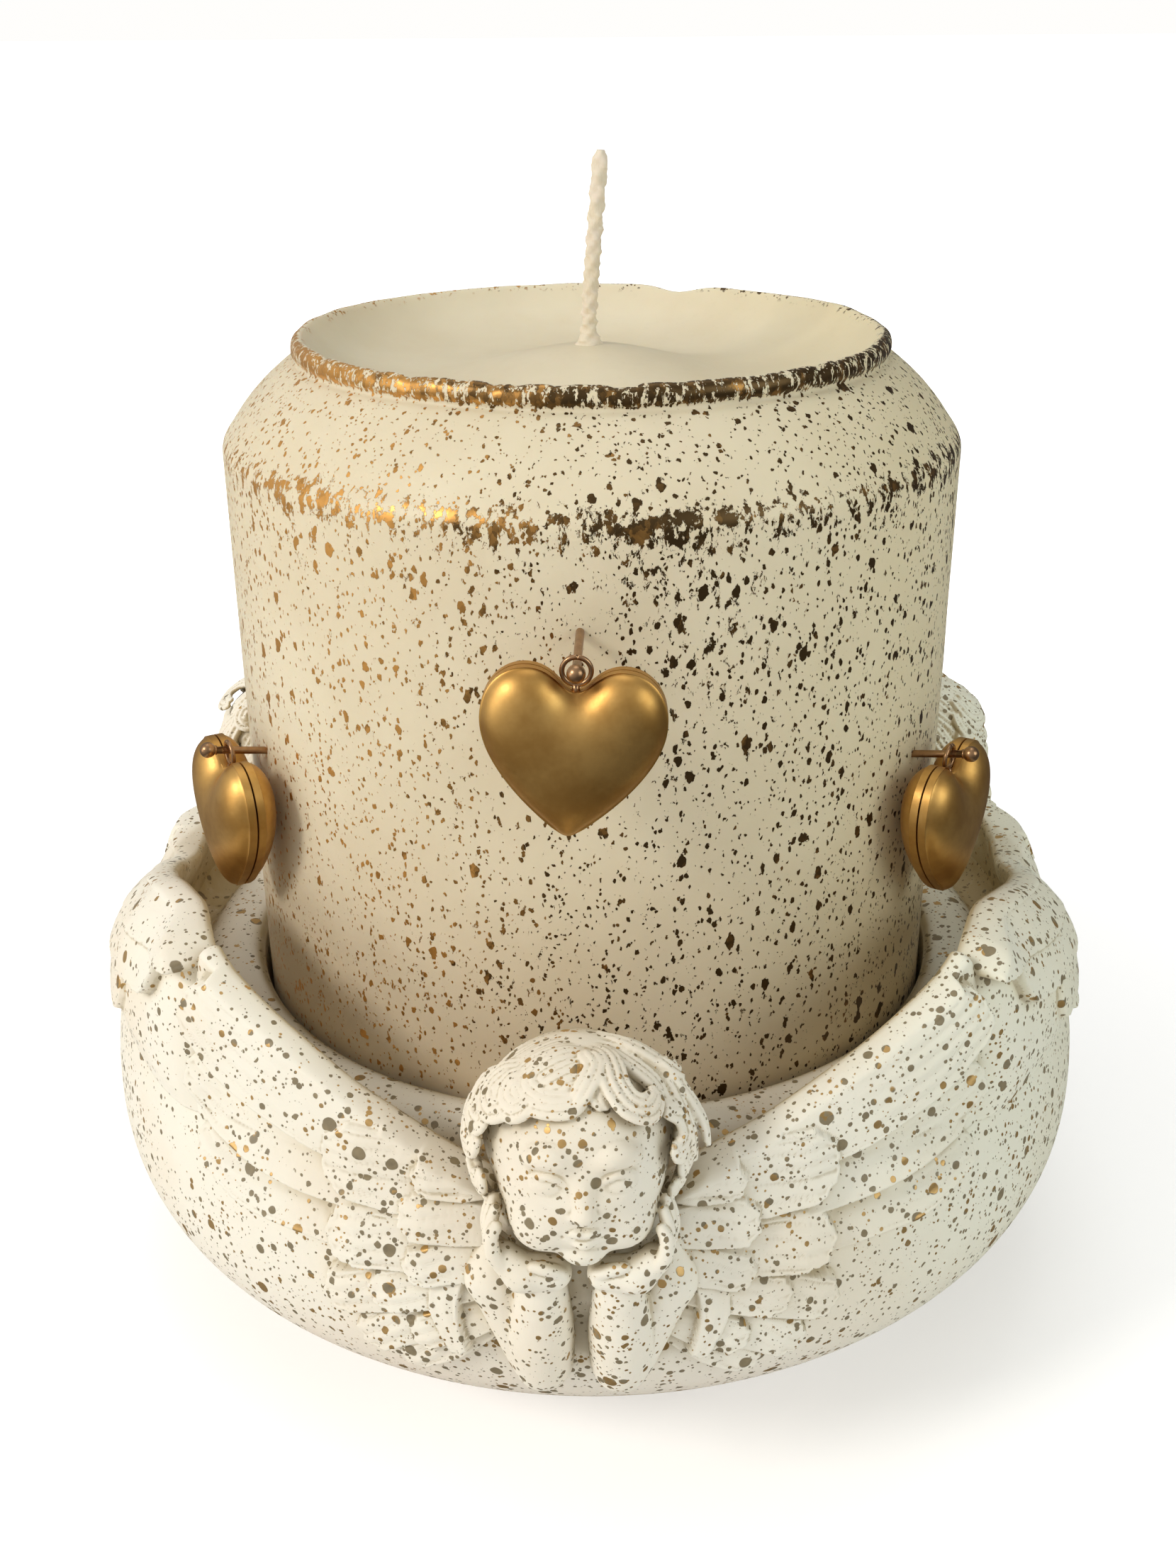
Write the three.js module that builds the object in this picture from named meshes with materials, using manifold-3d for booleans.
// Unity candle: a pillar candle hung with six heart charms, standing in a round holder that
// three cherubs and their wings decorate. Millimetres, +Z up. The origin is the centre of the
// holder's flat foot, on the surface it stands on, and the front cherub faces -Y.
// An azimuth is in degrees from the front (-Y), growing towards +X.

import * as THREE from 'three';
import { mergeVertices } from 'three/addons/utils/BufferGeometryUtils.js';
import Module from 'manifold-3d';

// Driving dimensions of the candle
const CANDLE_RADIUS = 50;
const CANDLE_BASE = 10.3;
const CANDLE_SHOULDER = 125;
const LIP_RADIUS = 40;
const LIP_HEIGHT = 139.8;
const WICK_RADIUS = 1.15;
const WICK_TOP = 162.3;
const WICK_LEAN = 1.5;

// Driving dimensions of the holder
const BELLY_RADIUS = 73.6;
const BELLY_HEIGHT = 32.6;
const FOOT_RADIUS = 43;
const SEAT_FLOOR = 10;
const RIM_HEIGHT = 49;
const WALL_INNER_RADIUS = 67.3;
const WALL_OUTER_RADIUS = 70;
const CREST_AZIMUTH = 57;
const FIGURE_HALF_ANGLE = 11.3;
const WING_TIP = 44;

// Facets round a turned body. The rear cherubs are a whole number of facets away from the
// front one, so that all three meet the same facets.
const ROUND_FACETS = 42;
const REAR_AZIMUTH = (15 * 360) / ROUND_FACETS;
const CHERUB_AZIMUTHS = { front: 0, right: REAR_AZIMUTH, left: -REAR_AZIMUTH };

// Driving dimensions of the charms
const PIN_RADIUS = 0.5;
const PIN_DEPTH = 18;
const HEART_WIDTH = 20.7;
const HEART_HEIGHT = 20;
const HEART_THICKNESS = 8.8;
const HEART_MEAN_RADIUS = 8;
const HEART_SHEET = 0.6;
// A pin enters the side of the wax at a height and points up by tilt degrees; its heart hangs
// hang millimetres out from the wax.
const FRONT_PIN = { height: 114, reach: 13.5, hang: 11.3, tilt: 0 };
const LOWER_PIN = { height: 88.2, reach: 8, hang: 5, tilt: 12 };
const UPPER_PIN = { ...LOWER_PIN, height: 114 };
const CHARMS = [
  { name: 'front', azimuth: 0, pin: FRONT_PIN },
  { name: 'right', azimuth: 60, pin: LOWER_PIN },
  { name: 'back_right', azimuth: 120, pin: UPPER_PIN },
  { name: 'back', azimuth: 180, pin: LOWER_PIN },
  { name: 'back_left', azimuth: -120, pin: UPPER_PIN },
  { name: 'left', azimuth: -60, pin: LOWER_PIN },
];

// Clearances
const GAP = 0.3;
const SEAT_CLEARANCE = 0.6;
const FACET_SAG = 0.5;
const WING_JOIN = 0.3;

const wasm = await Module();
wasm.setup();

// ---------- helpers ----------

const radians = THREE.MathUtils.degToRad;

function material(color, roughness, metalness) {
  return new THREE.MeshStandardMaterial({ color, roughness, metalness });
}

const wax = () => material(0xded4b4, 0.5, 0);
const bisque = () => material(0xf5f0e1, 0.85, 0);
const cotton = () => material(0xe6ddc3, 0.9, 0);
const tinplate = () => material(0xc9c9c6, 0.35, 0.9);
const antiqueGold = () => material(0x8f6a2a, 0.4, 0.9);
const copperWire = () => material(0x7a4f35, 0.35, 0.9);

// Drops everything but position and joins the shared vertices, so the surface is closed.
function closed(geometry) {
  geometry.deleteAttribute('normal');
  geometry.deleteAttribute('uv');
  return mergeVertices(geometry, 1e-4);
}

function toSolid(geometry) {
  const shared = closed(geometry);
  return new wasm.Manifold(new wasm.Mesh({
    numProp: 3,
    vertProperties: Float32Array.from(shared.attributes.position.array),
    triVerts: Uint32Array.from(shared.index.array),
  }));
}

function toGeometry(solid) {
  const { vertProperties, triVerts } = solid.getMesh();
  const geometry = new THREE.BufferGeometry();
  geometry.setAttribute('position', new THREE.BufferAttribute(vertProperties, 3));
  geometry.setIndex(new THREE.BufferAttribute(triVerts, 1));
  return geometry;
}

function mesh(name, geometry, finish) {
  const shown = geometry.attributes.normal ? geometry : geometry.clone();
  shown.computeVertexNormals();
  const part = new THREE.Mesh(shown, finish);
  part.name = name;
  return part;
}

// A closed profile of [radius, height] pairs turned about Z.
function turned(profile, segments) {
  const points = profile.map(([radius, height]) => new THREE.Vector2(radius, height));
  return closed(new THREE.LatheGeometry(points, segments).rotateX(Math.PI / 2));
}

function smooth(t) {
  const s = THREE.MathUtils.clamp(t, 0, 1);
  return s * s * (3 - 2 * s);
}

// ---------- candle ----------

// The wick's bore, the sustainer's recess, the side, the shoulder, the lip and the dished top.
function candleProfile() {
  const bore = WICK_RADIUS + GAP;
  return [
    [bore, 17.3],
    [3, 17.3],
    [3, 11.5],
    [15.8, 11.5],
    [15.8, CANDLE_BASE],
    [CANDLE_RADIUS - 1, CANDLE_BASE],
    [CANDLE_RADIUS, CANDLE_BASE + 1],
    [CANDLE_RADIUS, CANDLE_SHOULDER],
    [CANDLE_RADIUS - 1, CANDLE_SHOULDER + 2.8],
    [CANDLE_RADIUS - 3.1, CANDLE_SHOULDER + 5.9],
    [LIP_RADIUS + 4.6, LIP_HEIGHT - 6.5],
    [LIP_RADIUS + 0.3, LIP_HEIGHT - 3.3],
    [LIP_RADIUS - 0.4, LIP_HEIGHT - 2.8],
    [LIP_RADIUS, LIP_HEIGHT - 1.2],
    [LIP_RADIUS - 0.7, LIP_HEIGHT],
    [LIP_RADIUS - 1.6, LIP_HEIGHT - 0.2],
    [LIP_RADIUS - 8, LIP_HEIGHT - 5],
    [LIP_RADIUS - 17, LIP_HEIGHT - 6.8],
    [15, LIP_HEIGHT - 5.2],
    [bore, LIP_HEIGHT - 2.4],
    [bore, 17.3],
  ];
}

function candleWax() {
  const holeRadius = PIN_RADIUS + GAP;
  let body = toSolid(turned(candleProfile(), ROUND_FACETS));
  for (const { azimuth, pin } of CHARMS) {
    const hole = new THREE.CylinderGeometry(holeRadius, holeRadius, PIN_DEPTH + GAP + 1, 8);
    hole.translate(0, (PIN_DEPTH + GAP - 1) / 2, 0);
    hole.rotateX(-radians(pin.tilt));
    hole.translate(0, -CANDLE_RADIUS, pin.height);
    hole.rotateZ(radians(azimuth));
    body = body.subtract(toSolid(hole));
  }
  return mesh('candle_wax', toGeometry(body), wax());
}

// The wick runs straight up its bore and leans a little once it is clear of the wax.
function wick() {
  const waxTop = LIP_HEIGHT - 2.4;
  const path = new THREE.CatmullRomCurve3([
    new THREE.Vector3(0, 0, 11.2),
    new THREE.Vector3(0, 0, 75),
    new THREE.Vector3(0, 0, waxTop + 1),
    new THREE.Vector3(WICK_LEAN * 0.3, 0, waxTop + 10),
    new THREE.Vector3(WICK_LEAN, 0, WICK_TOP),
  ]);
  const section = new THREE.Shape();
  section.absarc(0, 0, WICK_RADIUS, 0, Math.PI * 2);
  const options = { steps: 18, curveSegments: 4, extrudePath: path };
  return mesh('wick', closed(new THREE.ExtrudeGeometry(section, options)), cotton());
}

function wickSustainer() {
  const bore = WICK_RADIUS + GAP;
  const profile = [
    [0, CANDLE_BASE],
    [15.5, CANDLE_BASE],
    [15.5, CANDLE_BASE + 0.6],
    [2.7, CANDLE_BASE + 0.6],
    [2.2, CANDLE_BASE + 6],
    [bore, CANDLE_BASE + 6],
    [bore, CANDLE_BASE + 0.6],
    [0, CANDLE_BASE + 0.6],
  ];
  return mesh('wick_sustainer', turned(profile, 20), tinplate());
}

// ---------- holder ----------

// Radius of the round belly at a height: a flattened bowl below its widest ring, a slow
// curve above it.
function bellyRadius(height) {
  if (height < BELLY_HEIGHT) {
    const fall = (BELLY_HEIGHT - height) / BELLY_HEIGHT;
    return BELLY_RADIUS * (1 - fall ** 2.4) ** (1 / 2.4);
  }
  const rise = (height - BELLY_HEIGHT) / 62.8;
  return BELLY_RADIUS * Math.sqrt(1 - rise * rise);
}

// The holder's section: foot, belly, rim, trough, collar and candle seat. With grow it is the
// same shape standing out by that much, and filled, for cutting what rests on the holder.
function bowlProfile(grow) {
  const profile = [[0, -grow], [FOOT_RADIUS, -grow], [FOOT_RADIUS + 2, 1.5]];
  for (const height of [6, 9, 13, 18, 25, BELLY_HEIGHT, 41]) {
    profile.push([bellyRadius(height) + grow, height]);
  }
  profile.push([bellyRadius(RIM_HEIGHT) + grow, RIM_HEIGHT + grow]);
  profile.push([WALL_INNER_RADIUS - 0.5, RIM_HEIGHT + grow]);
  profile.push([66, 45.5 + grow]);
  profile.push([61.5, 44.5 + grow]);
  profile.push([60, 46.5 + grow]);
  profile.push([58.5, 48.8 + grow]);
  profile.push([55, 49.8 + grow]);
  profile.push([51.6, 49.4 + grow]);
  return profile;
}

function bowl() {
  const seat = CANDLE_RADIUS + SEAT_CLEARANCE;
  const bore = [[seat, 48], [seat, SEAT_FLOOR], [0, SEAT_FLOOR]];
  return mesh('bowl', turned([...bowlProfile(0), ...bore], ROUND_FACETS), bisque());
}

// A rounded limb from one point to another, with a round end at each.
function limb(start, end, startRadius, endRadius) {
  const from = new THREE.Vector3(...start);
  const to = new THREE.Vector3(...end);
  const length = from.distanceTo(to);
  const profile = [];
  for (const angle of [0, Math.PI / 4, Math.PI / 2]) {
    profile.push(new THREE.Vector2(startRadius * Math.sin(angle), -startRadius * Math.cos(angle)));
  }
  for (const angle of [Math.PI / 2, Math.PI / 4, 0]) {
    profile.push(new THREE.Vector2(endRadius * Math.sin(angle), length + endRadius * Math.cos(angle)));
  }
  const shape = new THREE.LatheGeometry(profile, 8);
  const turn = new THREE.Quaternion();
  turn.setFromUnitVectors(new THREE.Vector3(0, 1, 0), to.clone().sub(from).normalize());
  shape.applyQuaternion(turn);
  shape.translate(from.x, from.y, from.z);
  return shape;
}

function ellipsoid(centre, radii) {
  const shape = new THREE.SphereGeometry(1, 12, 8);
  shape.scale(...radii);
  shape.translate(...centre);
  return shape;
}

// A cherub leaning on its elbows with its chin in its hands, facing -Y on the belly.
function cherubSolid() {
  const skull = ellipsoid([0.2, -71.5, 59.8], [10.8, 10.6, 11.4]);
  const hair = ellipsoid([0, -70.3, 61], [12, 10.8, 11.6]);
  const face = ellipsoid([0.4, -74.4, 56.4], [9.4, 8.4, 7.6]);
  const chest = ellipsoid([0.2, -70.5, 41], [9.2, 4.8, 9]);
  const shapes = [skull, hair, face, chest];
  for (const side of [-1, 1]) {
    const elbow = [side * 4.8, -74.1, 28.6];
    const wrist = [side * 4.5, -77.6, 43.8];
    const shoulder = [side * 9.9, -73, 42.5];
    const knuckles = [side * 8.8, -78.8, 47.8];
    const fingertips = [side * 10, -77.4, 54];
    shapes.push(limb(elbow, wrist, 3.8, 3));
    shapes.push(limb(elbow, shoulder, 3.8, 4.1));
    shapes.push(limb(wrist, knuckles, 2.8, 2.3));
    shapes.push(limb(knuckles, fingertips, 2.2, 1.6));
  }
  const figure = wasm.Manifold.union(shapes.map(toSolid));
  const grownBowl = [...bowlProfile(GAP), [0, 49.4 + GAP]];
  return figure.subtract(toSolid(turned(grownBowl, ROUND_FACETS)));
}

function cherubs() {
  const figure = cherubSolid();
  return Object.entries(CHERUB_AZIMUTHS).map(([name, azimuth]) => {
    const part = mesh(`cherub_${name}`, toGeometry(figure), bisque());
    part.rotation.z = radians(azimuth);
    return part;
  });
}

// Height of a wing's upper edge, by the angle from its own cherub.
function frontWingTop(angle) {
  return 47.5 + 0.58 * angle;
}

function rearWingTop(angle) {
  return 56.5 + 15.5 * smooth((angle - 24) / 52);
}

// How strongly the wall swells where two wings overlap, from 0 to 1.
function crest(azimuth) {
  const away = (Math.abs(azimuth) - CREST_AZIMUTH) / 14;
  return Math.exp(-away * away);
}

// How far the wall leans in at its top, from 0 to 1, round the crest.
function lean(azimuth) {
  const away = Math.abs(azimuth);
  return smooth((away - 40) / 16) * smooth((112 - away) / 22);
}

// A wing's section from its lowest feathers up, in rows of [height, inner radius, outer
// radius]. It lies on the belly up to the rim, and stands above the rim as a wall.
function wingSection(azimuth, angle, top) {
  const swell = crest(azimuth);
  const rim = RIM_HEIGHT + GAP;
  const bottom = 20 + 0.5 * angle;
  const middle = (bottom + rim) / 2;
  const onBelly = (height) => bellyRadius(Math.min(height, RIM_HEIGHT)) + GAP + FACET_SAG;
  const wallInside = (most) => WALL_INNER_RADIUS - most * lean(azimuth);
  return [
    [bottom, onBelly(bottom), onBelly(bottom) + 0.9],
    [middle, onBelly(middle), onBelly(middle) + 1.9],
    [rim, onBelly(rim), onBelly(rim) + 1.5],
    [rim + 0.05, wallInside(1.5), onBelly(rim) + 1.5],
    [(rim + top) / 2, wallInside(2.5), WALL_OUTER_RADIUS + 1.3 + 1.6 * swell],
    [top, wallInside(5.3), WALL_OUTER_RADIUS - 3.2 * lean(azimuth)],
  ];
}

// A wing: a panel bent round the holder from one azimuth to another, whose top follows topAt.
function wing(name, cherubAzimuth, startAzimuth, endAzimuth, topAt) {
  const columns = 12;
  const bands = 5;
  const panel = new THREE.BoxGeometry(1, 1, 1, columns, bands, 1);
  const place = panel.attributes.position;
  for (let index = 0; index < place.count; index += 1) {
    const share = place.getX(index) + 0.5;
    const azimuth = THREE.MathUtils.lerp(startAzimuth, endAzimuth, share);
    const angle = Math.abs(azimuth - cherubAzimuth);
    const row = Math.round((place.getY(index) + 0.5) * bands);
    const [height, inner, outer] = wingSection(azimuth, angle, topAt(angle))[row];
    const radius = place.getZ(index) > 0 ? outer : inner;
    const turn = radians(azimuth);
    place.setXYZ(index, radius * Math.sin(turn), -radius * Math.cos(turn), height);
  }
  return mesh(name, closed(panel), bisque());
}

function wings() {
  const clear = FIGURE_HALF_ANGLE;
  const tip = WING_TIP;
  const rear = REAR_AZIMUTH;
  const join = WING_JOIN;
  return [
    wing('wing_front_right', 0, clear, tip, frontWingTop),
    wing('wing_front_left', 0, -tip, -clear, frontWingTop),
    wing('wing_right_fore', rear, tip + join, rear - clear, rearWingTop),
    wing('wing_left_fore', -rear, clear - rear, -tip - join, rearWingTop),
    wing('wing_right_rear', rear, rear + clear, 180 - join, rearWingTop),
    wing('wing_left_rear', -rear, join - 180, -rear - clear, rearWingTop),
  ];
}

// ---------- charms ----------

// Outline of the heart in its own plane: lobes up to height 0, notch between them, tip below.
function heartOutline() {
  const half = HEART_WIDTH / 2;
  const notch = -2.9;
  const widest = -6;
  const outline = new THREE.Shape();
  outline.moveTo(0, notch);
  outline.bezierCurveTo(2.2, -2.4, 2.6, 0.05, 5.3, 0);
  outline.bezierCurveTo(8.2, 0, half, -2.6, half, widest);
  outline.bezierCurveTo(half, -11.2, 5.2, -16, 0, -HEART_HEIGHT);
  outline.bezierCurveTo(-5.2, -16, -half, -11.2, -half, widest);
  outline.bezierCurveTo(-half, -2.6, -8.2, 0, -5.3, 0);
  outline.bezierCurveTo(-2.6, 0.05, -2.2, -2.4, 0, notch);
  return outline.getPoints(3).slice(0, -1);
}

// One pressed half of a heart: a thin dome with its open side on the plane y = 0, bulging to -y.
function heartShell() {
  const rise = HEART_THICKNESS / 2 - 0.15;
  const sheet = HEART_SHEET;
  const rings = [[0, rise], [0.6, rise * 0.86], [0.9, rise * 0.5], [1, 0]];
  const rimShare = 1 - sheet / HEART_MEAN_RADIUS;
  const inside = [[rimShare, 0], [0.62, (rise - sheet) * 0.8], [0, rise - sheet]];
  const profile = [...rings, ...inside].map(([share, depth]) => new THREE.Vector2(share, depth));
  const outline = heartOutline();
  const shell = new THREE.LatheGeometry(profile, outline.length);
  const place = shell.attributes.position;
  const centre = -8.2;
  for (let index = 0; index < place.count; index += 1) {
    const { x: share, y: depth } = profile[index % profile.length];
    const edge = outline[Math.floor(index / profile.length) % outline.length];
    place.setXYZ(index, edge.x * share, -depth, centre + (edge.y - centre) * share);
  }
  return closed(shell);
}

// The wire ring that the heart hangs by, with the short stem that runs down to its notch.
function heartLoop() {
  const ring = new THREE.TorusGeometry(1.55, 0.28, 6, 12).rotateX(Math.PI / 2);
  ring.translate(0, 0, -0.47);
  const stem = new THREE.CylinderGeometry(0.3, 0.3, 0.7, 6).rotateX(Math.PI / 2);
  stem.translate(0, 0, -2.05);
  return toGeometry(toSolid(ring).add(toSolid(stem)));
}

// A ball-headed pin along -y, with its point in the wax.
function pinGeometry(reach) {
  const head = 1.05;
  const profile = [[0, -PIN_DEPTH], [PIN_RADIUS, 1.5 - PIN_DEPTH], [PIN_RADIUS, reach - head * 0.8]];
  for (const angle of [60, 90, 135]) {
    const turn = radians(angle);
    profile.push([head * Math.sin(turn), reach - head * Math.cos(turn)]);
  }
  profile.push([0, reach + head]);
  const points = profile.map(([radius, along]) => new THREE.Vector2(radius, along));
  return closed(new THREE.LatheGeometry(points, 8).rotateX(Math.PI));
}

function charms() {
  return CHARMS.map(({ name, azimuth, pin }) => {
    const rise = pin.hang * Math.tan(radians(pin.tilt));
    const charm = new THREE.Group();
    const outerShell = mesh(`heart_${name}_outer_shell`, heartShell(), antiqueGold());
    outerShell.position.y = -0.15;
    const innerShell = mesh(`heart_${name}_inner_shell`, heartShell(), antiqueGold());
    innerShell.rotation.z = Math.PI;
    innerShell.position.y = 0.15;
    const loop = mesh(`heart_${name}_loop`, heartLoop(), copperWire());
    const shaft = mesh(`pin_${name}`, pinGeometry(pin.reach), copperWire());
    shaft.rotation.x = -radians(pin.tilt);
    shaft.position.set(0, pin.hang, -rise);
    charm.add(outerShell, innerShell, loop, shaft);
    charm.position.set(0, -(CANDLE_RADIUS + pin.hang), rise);
    const spoke = new THREE.Group();
    spoke.add(charm);
    spoke.position.z = pin.height;
    spoke.rotation.z = radians(azimuth);
    return spoke;
  });
}

const group = new THREE.Group();
group.add(candleWax(), wick(), wickSustainer());
group.add(bowl(), ...cherubs(), ...wings());
group.add(...charms());

export default group;
